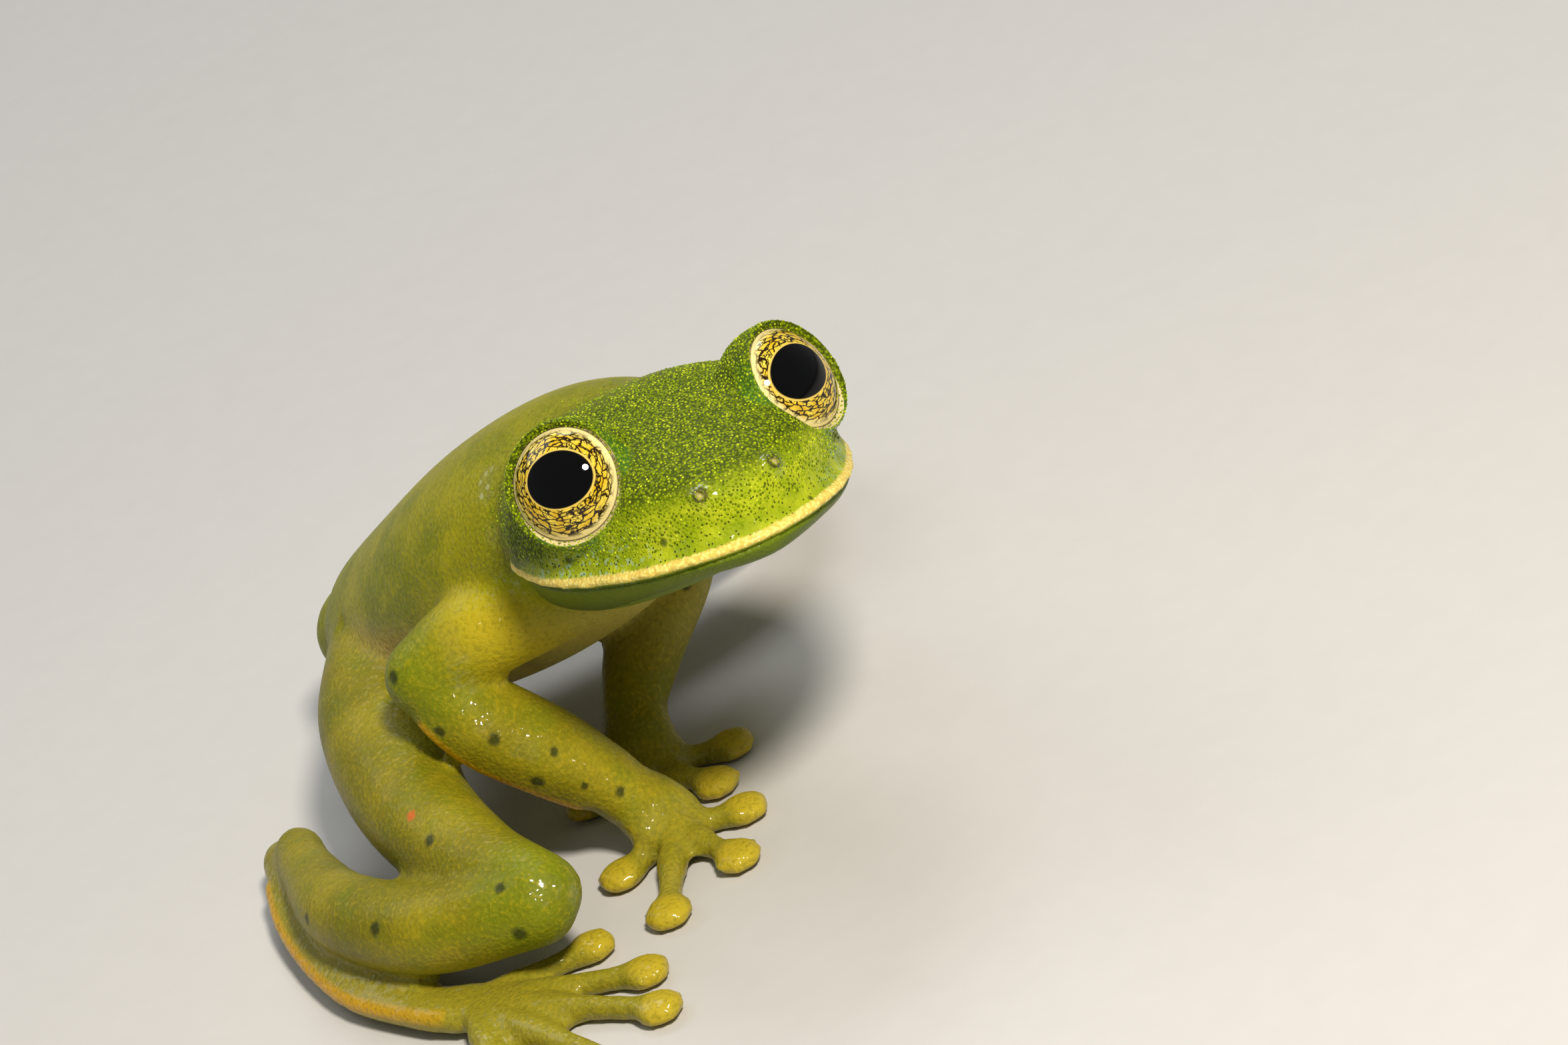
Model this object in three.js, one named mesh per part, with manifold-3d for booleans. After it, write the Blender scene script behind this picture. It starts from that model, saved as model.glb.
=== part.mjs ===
import * as THREE from "three";
import { mergeVertices } from "three/addons/utils/BufferGeometryUtils.js";
import Module from "manifold-3d";

// A life-size glass frog, sitting with its head turned to its right.
// Millimetres, Z up, floor at Z = 0, the body faces -Y, its own left side is +X.

// Clearance kept between neighbouring solids
const GAP = 0.3;

// Head: origin midway between the eye centres, X to its left, Y back, Z up
const EYE_HEIGHT = 12.4;
const HEAD_TURN = 20;
const HEAD_LIFT = 7;
const HEAD_TILT = 5.5;
const MOUTH_Z = -2.25;
const LIP_HALF_WIDTH = 4.82;
const LIP_LENGTH = 7.95;
const LIP_BACK = 3.1;
const HEAD_BACK = 5.6;
const NECK_HALF_WIDTH = 4.2;
const LIP_RADIUS = 0.27;
// Height of the crown and of the throat along the head: [y, z]
const CROWN = [
  [-5.0, -1.25], [-4.6, -0.62], [-3.8, -0.12], [-2.6, 0.32], [-1.0, 0.72], [1.0, 0.9], [3.2, 0.8], [5.6, 0.3],
];
const THROAT = [
  [-5.0, -2.62], [-4.4, -2.78], [-3.0, -3.05], [-1.0, -3.7], [1.0, -4.35], [3.2, -4.8], [5.6, -4.9],
];

// Eyes
const EYE_SIDE = 3.2;
const EYE_RADIUS = 1.48;
const EYE_OUT = 38;
const EYE_UP = 24;
const EYE_BACK_CUT = -0.4;
const EYE_GAP = 0.16;
const LID_RADIUS = 1.94;
const LID_EDGE = 0.42;

// Nostrils
const NOSTRIL = { side: 1.08, y: -3.95, z: -0.62, mound: 0.42, pit: 0.17 };

// Trunk, from the neck to the vent: [x, y, z, half width, half height]
const TRUNK = [
  [0.9, 3.4, 10.0, 3.3, 2.5],
  [0.95, 6.6, 8.8, 4.15, 3.25],
  [0.95, 10.4, 7.0, 4.5, 3.4],
  [0.7, 14.2, 5.2, 3.95, 3.0],
  [0.3, 17.3, 4.0, 2.75, 2.3],
  [0.15, 18.8, 3.6, 1.8, 1.5],
];

// Limbs of the right side, then of the left, in the same five numbers
const RIGHT_ARM = {
  upper: [[-1.6, 6.4, 7.6, 1.5, 1.5], [-3.7, 7.8, 7.3, 1.35, 1.35], [-5.1, 8.7, 6.8, 1.2, 1.2]],
  fore: [
    [-5.1, 8.6, 6.6, 1.15, 1.15], [-4.6, 7.8, 5.1, 1.45, 1.2],
    [-3.8, 6.6, 3.6, 1.4, 1.15], [-3.1, 5.5, 2.2, 1.1, 0.9],
  ],
  palm: [[-3.1, 5.4, 2.0, 1.0, 0.85], [-2.8, 4.8, 1.25, 1.15, 0.8], [-2.8, 4.0, 0.7, 1.15, 0.55]],
  tips: [[-1.0, 2.5], [-3.2, 0.8], [-6.1, 1.1], [-5.1, 4.4]],
};
const LEFT_ARM = {
  upper: [[3.4, 6.2, 7.8, 1.5, 1.5], [4.9, 8.0, 6.9, 1.35, 1.35], [5.6, 9.5, 5.7, 1.2, 1.2]],
  fore: [
    [5.6, 9.4, 5.5, 1.1, 1.1], [4.1, 9.1, 4.1, 1.4, 1.15],
    [2.2, 8.8, 3.0, 1.3, 1.05], [0.6, 8.4, 1.95, 1.0, 0.85],
  ],
  palm: [[0.5, 8.3, 1.85, 0.95, 0.8], [-0.1, 7.9, 1.15, 1.1, 0.75], [-0.5, 7.2, 0.7, 1.15, 0.55]],
  tips: [[-2.5, 8.6], [-2.1, 6.2], [-0.4, 4.4], [1.5, 5.5]],
};
const RIGHT_LEG = {
  thigh: [
    [-1.6, 15.6, 4.0, 2.0, 1.9], [-4.2, 13.3, 3.8, 1.95, 1.85], [-6.7, 9.7, 3.4, 1.65, 1.6],
    [-8.2, 5.6, 3.0, 1.4, 1.4], [-8.6, 2.5, 2.8, 1.15, 1.15],
  ],
  shank: [
    [-8.9, 2.5, 2.6, 1.15, 1.15], [-10.4, 5.6, 2.4, 1.35, 1.25], [-10.2, 9.6, 2.1, 1.2, 1.1],
    [-8.6, 13.3, 1.65, 0.85, 0.82], [-7.5, 15.2, 1.4, 0.72, 0.7],
  ],
  tarsus: [
    [-7.5, 16.1, 0.85, 0.72, 0.7], [-9.8, 12.9, 0.64, 0.66, 0.58], [-11.5, 8.8, 0.58, 0.64, 0.53],
    [-11.6, 5.6, 0.56, 0.78, 0.5], [-11.2, 4.1, 0.5, 1.0, 0.48],
  ],
  tips: [[-7.5, 2.5], [-8.1, -0.4], [-9.4, -2.2], [-11.9, -3.2], [-13.6, 0.2]],
};
const LEFT_LEG = {
  thigh: [
    [1.2, 16.4, 4.0, 2.0, 1.9], [5.1, 13.8, 3.8, 1.95, 1.85], [8.9, 12.4, 3.4, 1.65, 1.6],
    [11.4, 13.0, 3.0, 1.4, 1.4], [12.8, 14.6, 2.8, 1.15, 1.15],
  ],
  shank: [
    [12.9, 14.9, 2.6, 1.15, 1.15], [12.1, 17.6, 2.4, 1.35, 1.25], [9.7, 19.6, 2.1, 1.2, 1.1],
    [6.5, 20.9, 1.65, 0.85, 0.82], [4.4, 21.6, 1.4, 0.72, 0.7],
  ],
  tarsus: [
    [3.6, 22.0, 0.85, 0.72, 0.7], [6.0, 19.5, 0.64, 0.66, 0.58], [8.3, 18.0, 0.58, 0.64, 0.53],
    [10.1, 17.5, 0.56, 0.78, 0.5], [11.2, 17.4, 0.5, 1.0, 0.48],
  ],
  tips: [[11.1, 14.7], [13.2, 14.1], [15.1, 15.8], [16.8, 18.9], [14.9, 21.3]],
};

// Fingers and toes: half width and half height of the digit, and of the disc at its tip
const DIGIT = { wide: 0.42, high: 0.4, discWide: 0.66, discLong: 0.62, discHigh: 0.36 };
const WEB_THICKNESS = 0.5;
const FINGER_WEB = 0.35;
const TOE_WEB = 0.62;
const FLOOR_DIP = 0.04;

// Shares of a limb's full width that the rings of its domed ends have
const ROUND_CAP = [0.4, 0.8];
const FINE_CAP = [0.35, 0.7, 0.93];

const wasm = await Module();
wasm.setup();
const v3 = (x, y, z) => new THREE.Vector3(x, y, z);
const rad = THREE.MathUtils.degToRad;
const headPlace = new THREE.Matrix4()
  .makeTranslation(0, 0, EYE_HEIGHT)
  .multiply(new THREE.Matrix4().makeRotationZ(-rad(HEAD_TURN)))
  .multiply(new THREE.Matrix4().makeRotationX(-rad(HEAD_LIFT)))
  .multiply(new THREE.Matrix4().makeRotationY(rad(HEAD_TILT)));

// A geometry as a closed solid, its faces turned outwards
function solid(geometry, tolerance = 1e-4) {
  const bare = geometry.clone();
  bare.deleteAttribute("normal");
  bare.deleteAttribute("uv");
  const merged = mergeVertices(bare, tolerance);
  const vertProperties = new Float32Array(merged.attributes.position.array);
  const triVerts = new Uint32Array(merged.index.array);
  const made = new wasm.Manifold(new wasm.Mesh({ numProp: 3, vertProperties, triVerts }));
  if (made.volume() > 0) return made;
  for (let i = 0; i < triVerts.length; i += 3) {
    [triVerts[i], triVerts[i + 1]] = [triVerts[i + 1], triVerts[i]];
  }
  return new wasm.Manifold(new wasm.Mesh({ numProp: 3, vertProperties, triVerts }));
}

// The largest closed surface of a solid, with no chips beside it and no bubbles inside it
function largest(made) {
  const { vertProperties, triVerts, numProp } = solid(geometryOf(made), 1.1e-3).getMesh();
  const owner = Array.from({ length: vertProperties.length / numProp }, (_, i) => i);
  const find = (i) => {
    while (owner[i] !== i) i = owner[i] = owner[owner[i]];
    return i;
  };
  for (let i = 0; i < triVerts.length; i += 3) {
    owner[find(triVerts[i + 1])] = find(triVerts[i]);
    owner[find(triVerts[i + 2])] = find(triVerts[i]);
  }
  const surfaces = new Map();
  for (let i = 0; i < triVerts.length; i += 3) {
    const root = find(triVerts[i]);
    if (!surfaces.has(root)) surfaces.set(root, []);
    surfaces.get(root).push(...triVerts.slice(i, i + 3));
  }
  const solids = [...surfaces.values()].map((faces) => {
    const geometry = new THREE.BufferGeometry();
    geometry.setAttribute("position", new THREE.Float32BufferAttribute(vertProperties, numProp));
    geometry.setIndex(faces);
    return solid(geometry.toNonIndexed());
  });
  return solids.reduce((best, one) => (one.volume() > best.volume() ? one : best));
}

// A solid as a geometry
function geometryOf(made) {
  const { vertProperties, triVerts, numProp } = made.getMesh();
  const positions = [];
  for (let i = 0; i < vertProperties.length; i += numProp) positions.push(...vertProperties.slice(i, i + 3));
  const geometry = new THREE.BufferGeometry();
  geometry.setAttribute("position", new THREE.Float32BufferAttribute(positions, 3));
  geometry.setIndex([...triVerts]);
  geometry.computeVertexNormals();
  return geometry;
}

// Rings of points joined into a closed skin, with a pole at each end
function closedSkin(rings, first, last) {
  const around = rings[0].length;
  const points = [first, ...rings.flat(), last];
  const index = [];
  for (let j = 0; j < around; j++) {
    const k = (j + 1) % around;
    index.push(0, 1 + k, 1 + j);
    for (let i = 0; i + 1 < rings.length; i++) {
      const a = 1 + i * around, b = a + around;
      index.push(a + j, a + k, b + j, a + k, b + k, b + j);
    }
    const end = 1 + (rings.length - 1) * around;
    index.push(points.length - 1, end + j, end + k);
  }
  const geometry = new THREE.BufferGeometry().setFromPoints(points);
  geometry.setIndex(index);
  return geometry;
}

// A limb through stations [x, y, z, half width, half height], rounded at both ends
function limb(stations, { steps = 8, around = 12, grow = 0, caps = ROUND_CAP, up = v3(0, 0, 1) } = {}) {
  const places = stations.map((s) => v3(s[0], s[1], s[2]));
  const path = new THREE.CatmullRomCurve3(places, false, "catmullrom", 0.5);
  const size = new THREE.CatmullRomCurve3(stations.map((s) => v3(s[3], s[4], 0)), false, "catmullrom", 0.5);
  const rings = [];
  const ring = (t, along, scale) => {
    const centre = path.getPoint(t), tangent = path.getTangent(t), half = size.getPoint(t);
    const side = v3().crossVectors(tangent, up).normalize();
    const top = v3().crossVectors(side, tangent);
    const wide = (half.x + grow) * scale, high = (half.y + grow) * scale;
    centre.addScaledVector(tangent, along * (Math.min(half.x, half.y) + grow));
    if (!scale) return centre;
    rings.push(Array.from({ length: around }, (_, j) => {
      const a = (j / around) * 2 * Math.PI;
      const point = centre.clone().addScaledVector(side, wide * Math.cos(a));
      return point.addScaledVector(top, high * Math.sin(a));
    }));
    return centre;
  };
  const dome = caps.map((s) => [Math.sqrt(1 - s * s), s]);
  for (const [along, scale] of dome) ring(0, -along, scale);
  for (let i = 0; i <= steps; i++) ring(i / steps, 0, 1);
  for (const [along, scale] of [...dome].reverse()) ring(1, along, scale);
  return solid(closedSkin(rings, ring(0, -1, 0), ring(1, 1, 0)));
}

// Height along the head from a list of [y, z]
function heightAt(list, y) {
  const curve = new THREE.SplineCurve(list.map(([a, b]) => new THREE.Vector2(a, b)));
  let low = 0, high = 1;
  for (let i = 0; i < 24; i++) {
    const middle = (low + high) / 2;
    if (curve.getPoint(middle).x < y) low = middle;
    else high = middle;
  }
  return curve.getPoint(low).y;
}

// Half width of the head at the line of the mouth
function mouthHalfWidth(y) {
  if (y >= LIP_BACK) {
    return THREE.MathUtils.lerp(LIP_HALF_WIDTH, NECK_HALF_WIDTH, (y - LIP_BACK) / (HEAD_BACK - LIP_BACK));
  }
  return LIP_HALF_WIDTH * Math.sqrt(Math.max(0, 1 - ((LIP_BACK - y) / LIP_LENGTH) ** 2));
}

// One side of the mouth: a domed body between the mouth plane and a ridge of heights
function headHalf(list, base, grow, boxy, steps = 18, around = 16) {
  const sign = Math.sign(heightAt(list, 0) - base);
  const tip = LIP_BACK - LIP_LENGTH;
  const rings = [];
  for (let i = 0; i <= steps; i++) {
    const s = i / steps;
    const y = tip + 0.012 + (HEAD_BACK - tip) * (1 - Math.cos((s * Math.PI) / 2));
    const wide = mouthHalfWidth(y) + grow;
    const high = Math.abs(heightAt(list, y) - base) + grow;
    const ring = [];
    for (let j = 0; j <= around; j++) {
      const a = (j / around) * Math.PI;
      const c = Math.cos(a), x = wide * Math.sign(c) * Math.abs(c) ** boxy;
      ring.push(v3(x, y, base + sign * high * Math.abs(Math.sin(a)) ** 0.85));
    }
    for (let j = 1; j < 4; j++) {
      ring.push(v3(THREE.MathUtils.lerp(-wide, wide, j / 4), y, base - sign * grow));
    }
    if (grow) {
      ring[0].z = ring[around].z = base - sign * grow;
    }
    rings.push(ring);
  }
  const tipPoint = v3(0, tip - grow, base + sign * 0.3);
  const backPoint = v3(0, HEAD_BACK + 0.9 + grow, base + sign * 1.4);
  return solid(closedSkin(rings, tipPoint, backPoint)).transform(headPlace.elements);
}

// A ball in the head's own frame
function ball(radius, x, y, z, detail = 20) {
  const geometry = new THREE.SphereGeometry(radius, detail, Math.round(detail * 0.7));
  return solid(geometry.translate(x, y, z).applyMatrix4(headPlace));
}

// Direction that an eye looks in, in the head's own frame
function gaze(side) {
  const out = rad(EYE_OUT), lift = rad(EYE_UP);
  return v3(side * Math.sin(out) * Math.cos(lift), -Math.cos(out) * Math.cos(lift), Math.sin(lift));
}

// Everything on one side of a plane square to the gaze, at a distance from the eye's centre
function behind(side, distance) {
  const size = 8;
  const direction = gaze(side);
  const turn = new THREE.Quaternion().setFromUnitVectors(v3(0, 0, 1), direction);
  const place = new THREE.Matrix4().compose(
    v3(side * EYE_SIDE, 0, 0).addScaledVector(direction, distance - size / 2), turn, v3(1, 1, 1));
  return solid(new THREE.BoxGeometry(size, size, size).applyMatrix4(place).applyMatrix4(headPlace));
}

// The visible ball of an eye
function eye(side, grow = 0) {
  const whole = ball(EYE_RADIUS + grow, side * EYE_SIDE, 0, 0, 22);
  return whole.subtract(behind(side, EYE_BACK_CUT - grow));
}

// The rim that the upper lip stands out as, along the mouth's edge
function lip() {
  const points = Array.from({ length: 25 }, (_, i) => {
    const t = THREE.MathUtils.lerp(-1.5, 1.5, i / 24);
    const [x, y] = [(LIP_HALF_WIDTH - 0.12) * Math.sin(t), LIP_BACK - (LIP_LENGTH - 0.12) * Math.cos(t)];
    return v3(x, y, MOUTH_Z + LIP_RADIUS * 0.83);
  });
  const curve = new THREE.CatmullRomCurve3(points);
  const tube = new THREE.TubeGeometry(curve, 30, LIP_RADIUS, 6, false);
  const ends = [points[0], points[24]].map((p) => ball(LIP_RADIUS, p.x, p.y, p.z, 6));
  const closed = closedTube(tube, 31, 6, points[0], points[24]);
  return ends.reduce((all, one) => all.add(one), solid(closed.applyMatrix4(headPlace)));
}

// A tube geometry with its two open ends closed by poles
function closedTube(tube, count, sides, first, last) {
  const position = tube.attributes.position;
  const rings = Array.from({ length: count }, (_, i) => Array.from({ length: sides }, (_, j) =>
    v3().fromBufferAttribute(position, i * (sides + 1) + j)));
  return closedSkin(rings, first.clone(), last.clone());
}

// Crown, cheeks and upper jaw, with eye sockets and nostrils
function head() {
  let made = headHalf(CROWN, MOUTH_Z, 0, 0.72).add(lip());
  for (const side of [-1, 1]) {
    made = made.add(ball(LID_RADIUS, side * EYE_SIDE, 0, 0, 20).intersect(behind(side, LID_EDGE)));
    made = made.add(ball(NOSTRIL.mound, side * NOSTRIL.side, NOSTRIL.y, NOSTRIL.z, 9));
  }
  for (const side of [-1, 1]) {
    const out = NOSTRIL.mound * 0.6;
    made = made.subtract(eye(side, EYE_GAP));
    made = made.subtract(
      ball(NOSTRIL.pit, side * (NOSTRIL.side + out), NOSTRIL.y - out * 0.5, NOSTRIL.z + out * 0.5, 8));
  }
  return largest(made.subtract(headHalf(THROAT, MOUTH_Z - GAP, 0, 0.8)));
}

// Lower jaw and throat
function lowerJaw() {
  return largest(headHalf(THROAT, MOUTH_Z - GAP, 0, 0.8));
}

// Head and jaw with the clearance round them
function headSpace() {
  return headHalf(CROWN, MOUTH_Z, GAP, 0.72).add(headHalf(THROAT, MOUTH_Z - GAP, GAP, 0.8));
}

// A digit from the palm or sole to the disc at its tip, along the floor
function digit(from, tip) {
  const { wide, high, discWide, discLong, discHigh } = DIGIT;
  const start = v3(...from), end = v3(tip[0], tip[1], discHigh - FLOOR_DIP);
  const along = end.clone().sub(start).setZ(0).normalize();
  const at = (share, z) => start.clone().lerp(end, share).setZ(z).toArray();
  const before = (distance) => end.clone().addScaledVector(along, -distance * discLong).toArray();
  return limb([
    [...from, wide * 1.15, high * 1.1],
    [...at(0.5, high * 1.25), wide, high],
    [...before(1.5), wide * 0.9, discHigh],
    [...before(0.6), discWide, discHigh],
    [...before(-0.1), discWide * 0.85, discHigh * 0.9],
  ], { steps: 7, around: 8, caps: [0.6] });
}

// The web between neighbouring digits, as a thin sheet on the floor
function web(root, tips, share) {
  const shape = new THREE.Shape();
  shape.moveTo(root[0], root[1]);
  const reach = tips.map((tip) => new THREE.Vector2(root[0], root[1]).lerp(new THREE.Vector2(...tip), share));
  shape.lineTo(reach[0].x, reach[0].y);
  for (let i = 1; i < reach.length; i++) {
    const middle = reach[i - 1].clone().add(reach[i]).multiplyScalar(0.5);
    middle.lerp(new THREE.Vector2(root[0], root[1]), 0.3);
    shape.quadraticCurveTo(middle.x, middle.y, reach[i].x, reach[i].y);
  }
  const settings = { depth: WEB_THICKNESS, bevelEnabled: false, curveSegments: 5 };
  const sheet = new THREE.ExtrudeGeometry(shape, settings);
  return solid(sheet);
}

// What lies below the floor
function below() {
  return solid(new THREE.BoxGeometry(80, 80, 4).translate(0, 0, -2));
}

// A hand or a foot: its long part, its digits and its webs
function paw(stations, tips, share, options) {
  const root = stations[stations.length - 1];
  const heads = tips.map((tip, i) => {
    const spread = (i / (tips.length - 1) - 0.5) * 1.1;
    const side = v3(tip[0] - root[0], tip[1] - root[1], 0).normalize();
    return [root[0] + side.x * 0.35 * Math.cos(spread), root[1] + side.y * 0.35 * Math.cos(spread), root[2]];
  });
  let made = limb(stations, options);
  tips.forEach((tip, i) => (made = made.add(digit(heads[i], tip))));
  made = made.add(web(root, tips, share));
  return made.subtract(below());
}

function buildArm(arm, body) {
  const upper = largest(limb(arm.upper).subtract(body));
  const fore = largest(limb(arm.fore).subtract(body).subtract(limb(arm.upper, { grow: GAP })));
  const hand = largest(paw(arm.palm, arm.tips, FINGER_WEB, { steps: 5, around: 10 })
    .subtract(limb(arm.fore, { grow: GAP })));
  return { upper, fore, hand };
}

function buildLeg(leg, body) {
  const options = { steps: 11 };
  const thigh = largest(limb(leg.thigh, options).subtract(body));
  const thighSpace = limb(leg.thigh, { ...options, grow: GAP });
  const shank = largest(limb(leg.shank, options).subtract(body).subtract(thighSpace));
  const foot = largest(paw(leg.tarsus, leg.tips, TOE_WEB, { steps: 10, around: 10 })
    .subtract(limb(leg.shank, { ...options, grow: GAP })).subtract(thighSpace));
  return { thigh, shank, foot };
}

// Colours of the skin of each region, and of the eye
const COLOURS = {
  crown: ["#8db52c", 0.45],
  throat: ["#a9bd5a", 0.5],
  trunk: ["#8a9a2e", 0.45],
  arm: ["#9aa636", 0.45],
  digits: ["#b9bd55", 0.4],
  leg: ["#6f8a2c", 0.45],
  eye: ["#c9a53a", 0.12],
};

const group = new THREE.Group();
group.name = "glass_frog";
function addPart(name, made, [colour, roughness]) {
  const material = new THREE.MeshStandardMaterial({ color: colour, roughness, metalness: 0 });
  const mesh = new THREE.Mesh(geometryOf(made), material);
  mesh.name = name;
  group.add(mesh);
}

const trunkOptions = { steps: 16, around: 24, caps: FINE_CAP };
const trunkSpace = limb(TRUNK, { ...trunkOptions, grow: GAP });
const bodySpace = trunkSpace.add(headSpace());
addPart("head", head(), COLOURS.crown);
addPart("lower_jaw", lowerJaw(), COLOURS.throat);
addPart("eye_right", eye(-1), COLOURS.eye);
addPart("eye_left", eye(1), COLOURS.eye);
addPart("torso", largest(limb(TRUNK, trunkOptions).subtract(headSpace())), COLOURS.trunk);

for (const [name, arm] of [["right", RIGHT_ARM], ["left", LEFT_ARM]]) {
  const { upper, fore, hand } = buildArm(arm, bodySpace);
  addPart(`upper_arm_${name}`, upper, COLOURS.arm);
  addPart(`forearm_${name}`, fore, COLOURS.arm);
  addPart(`hand_${name}`, hand, COLOURS.digits);
}
for (const [name, leg] of [["right", RIGHT_LEG], ["left", LEFT_LEG]]) {
  const { thigh, shank, foot } = buildLeg(leg, bodySpace);
  addPart(`thigh_${name}`, thigh, COLOURS.leg);
  addPart(`shank_${name}`, shank, COLOURS.leg);
  addPart(`foot_${name}`, foot, COLOURS.digits);
}

// The whole frog stands centred over the frame's origin
const box = new THREE.Box3().setFromObject(group);
const centre = box.getCenter(v3());
group.position.set(-centre.x, -centre.y, -box.min.z);

export default group;
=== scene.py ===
# %% [markdown]
# # A glass frog, life size
# A glass frog sits with its chest raised and its head turned to its right, made as a museum
# model of 28 mm from snout to vent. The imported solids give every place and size; this
# lesson dresses them: one skin over all the flesh, two wet eyes, and the light to see them by.

import math
from functools import partial

import bmesh
import bpy
import numpy as np
from mathutils import Matrix, Vector
from numpy.linalg import norm


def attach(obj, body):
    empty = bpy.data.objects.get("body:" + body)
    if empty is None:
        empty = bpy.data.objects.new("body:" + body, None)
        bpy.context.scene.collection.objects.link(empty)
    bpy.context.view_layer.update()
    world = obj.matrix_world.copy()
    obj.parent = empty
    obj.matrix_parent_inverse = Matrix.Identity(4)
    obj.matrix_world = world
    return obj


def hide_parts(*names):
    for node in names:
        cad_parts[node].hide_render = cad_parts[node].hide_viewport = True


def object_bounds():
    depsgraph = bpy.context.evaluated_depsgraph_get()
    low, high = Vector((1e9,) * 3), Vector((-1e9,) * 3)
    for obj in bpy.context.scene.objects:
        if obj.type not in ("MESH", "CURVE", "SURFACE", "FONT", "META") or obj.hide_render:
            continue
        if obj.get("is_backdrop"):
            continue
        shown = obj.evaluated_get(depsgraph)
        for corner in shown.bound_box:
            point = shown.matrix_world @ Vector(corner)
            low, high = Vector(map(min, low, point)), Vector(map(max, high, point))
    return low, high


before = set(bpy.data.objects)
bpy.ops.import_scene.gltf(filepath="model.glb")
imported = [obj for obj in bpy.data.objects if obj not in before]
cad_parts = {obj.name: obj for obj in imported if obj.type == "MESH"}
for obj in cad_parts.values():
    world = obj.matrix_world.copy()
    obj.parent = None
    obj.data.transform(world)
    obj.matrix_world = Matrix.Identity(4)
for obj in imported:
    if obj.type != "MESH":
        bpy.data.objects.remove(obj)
solid_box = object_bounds()
MM = 0.001


def in_mm(*values):
    return [round(float(n) / MM, 1) for n in values]


print("solids reach", in_mm(*solid_box[0], *solid_box[1]), "mm")

# %% [markdown]
# ## Where the head is
# Each eye's solid is part of a ball, so its corners all lie on one sphere. A least-squares fit
# finds that sphere's centre, and the two centres fix the head: everything on the face is then
# measured in millimetres from the midpoint between them, X to the frog's left, Y back, Z up.
# The trunk and limbs are laid out in a plan of their own, shifted to sit under that midpoint.

# %% The head's own frame
HEAD_TURN, HEAD_LIFT, HEAD_TILT = 20.0, 7.0, 5.5
EYE_HEIGHT = 12.4
EYE_SIDE = 3.2
EYE_OUT, EYE_UP = 38.0, 24.0


def turn(degrees, axis):
    return np.array(Matrix.Rotation(math.radians(degrees), 3, axis))


HEAD_AXES = turn(-HEAD_TURN, "Z") @ turn(-HEAD_LIFT, "X") @ turn(HEAD_TILT, "Y")


def eye_centre(node):
    """Centre of the sphere through an eye solid's corners, in millimetres."""
    points = np.array([v.co[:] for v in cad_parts[node].data.vertices]) / MM
    rows = np.c_[2 * points, np.ones(len(points))]
    return np.linalg.lstsq(rows, (points**2).sum(1), rcond=None)[0][:3]


between_eyes = (eye_centre("eye_left") + eye_centre("eye_right")) / 2
SHIFT = between_eyes - np.array([0.0, 0.0, EYE_HEIGHT])


def from_head(points):
    return np.asarray(points, float) @ HEAD_AXES.T + between_eyes


def to_head(points):
    return (np.asarray(points, float) - between_eyes) @ HEAD_AXES


def eye_axes(side):
    """Rows are an eye's own X, Y and Z: across, up and along the gaze, in the head's frame."""
    out, lift = math.radians(EYE_OUT), math.radians(EYE_UP)
    level = math.cos(lift)
    ahead = np.array([side * math.sin(out) * level, -math.cos(out) * level, math.sin(lift)])
    across = np.cross((0, 0, 1), ahead)
    across /= norm(across)
    return np.stack([across, np.cross(ahead, across), ahead])


def from_eye(side, points):
    return from_head(np.asarray(points) @ eye_axes(side) + (side * EYE_SIDE, 0, 0))


def to_eye(side, local):
    """Points of the head's frame, in an eye's own frame."""
    return (local - (side * EYE_SIDE, 0, 0)) @ eye_axes(side).T


print("the plan is shifted by", in_mm(*SHIFT * MM), "mm")

# %% [markdown]
# ## Camera, light and floor
# The photograph looks slightly down on the frog from its front right, with the picture turned
# so that the head leans. A long lens at 200 mm keeps the small frog free of wide-angle swelling.
# One round light near the camera gives the small bright glint in each eye; wide dim ones fill.

# %% Camera
PICTURE = (2352, 1568)
SENSOR = 36.0
VIEW_AZIMUTH, VIEW_ELEVATION, VIEW_ROLL = -35.0, 26.0, 23.8
VIEW_DISTANCE = 200.0
PIXELS_PER_MM = 55.4
EYES_IN_PICTURE = (1017.0, 654.0)


def in_scene(name, data):
    """A new object with some data, linked to the scene."""
    made = bpy.data.objects.new(name, data)
    bpy.context.collection.objects.link(made)
    return made


def direction(azimuth, elevation):
    a, e = math.radians(azimuth), math.radians(elevation)
    return Vector((math.sin(a) * math.cos(e), -math.cos(a) * math.cos(e), math.sin(e)))


def camera():
    back = direction(VIEW_AZIMUTH, VIEW_ELEVATION)
    roll = math.radians(VIEW_ROLL)
    level = Vector((0, 0, 1)).cross(back).normalized()
    above = back.cross(level)
    right = level * math.cos(roll) - above * math.sin(roll)
    up = level * math.sin(roll) + above * math.cos(roll)
    across = (EYES_IN_PICTURE[0] - PICTURE[0] / 2) / PIXELS_PER_MM
    down = (EYES_IN_PICTURE[1] - PICTURE[1] / 2) / PIXELS_PER_MM
    place = Vector(between_eyes) + back * VIEW_DISTANCE - right * across + up * down
    data = bpy.data.cameras.new("camera")
    data.sensor_width = SENSOR
    data.lens = PIXELS_PER_MM * VIEW_DISTANCE / PICTURE[0] * SENSOR
    data.clip_start, data.clip_end = 0.005, 10.0
    made = in_scene("camera", data)
    axes = Matrix((right, up, back)).transposed()
    made.matrix_world = Matrix.Translation(place * MM) @ axes.to_4x4()
    bpy.context.scene.camera = made
    print("camera lens", round(data.lens, 1), "mm")


camera()

# %% Lights
AIM_HEIGHT = 6.0


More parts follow.
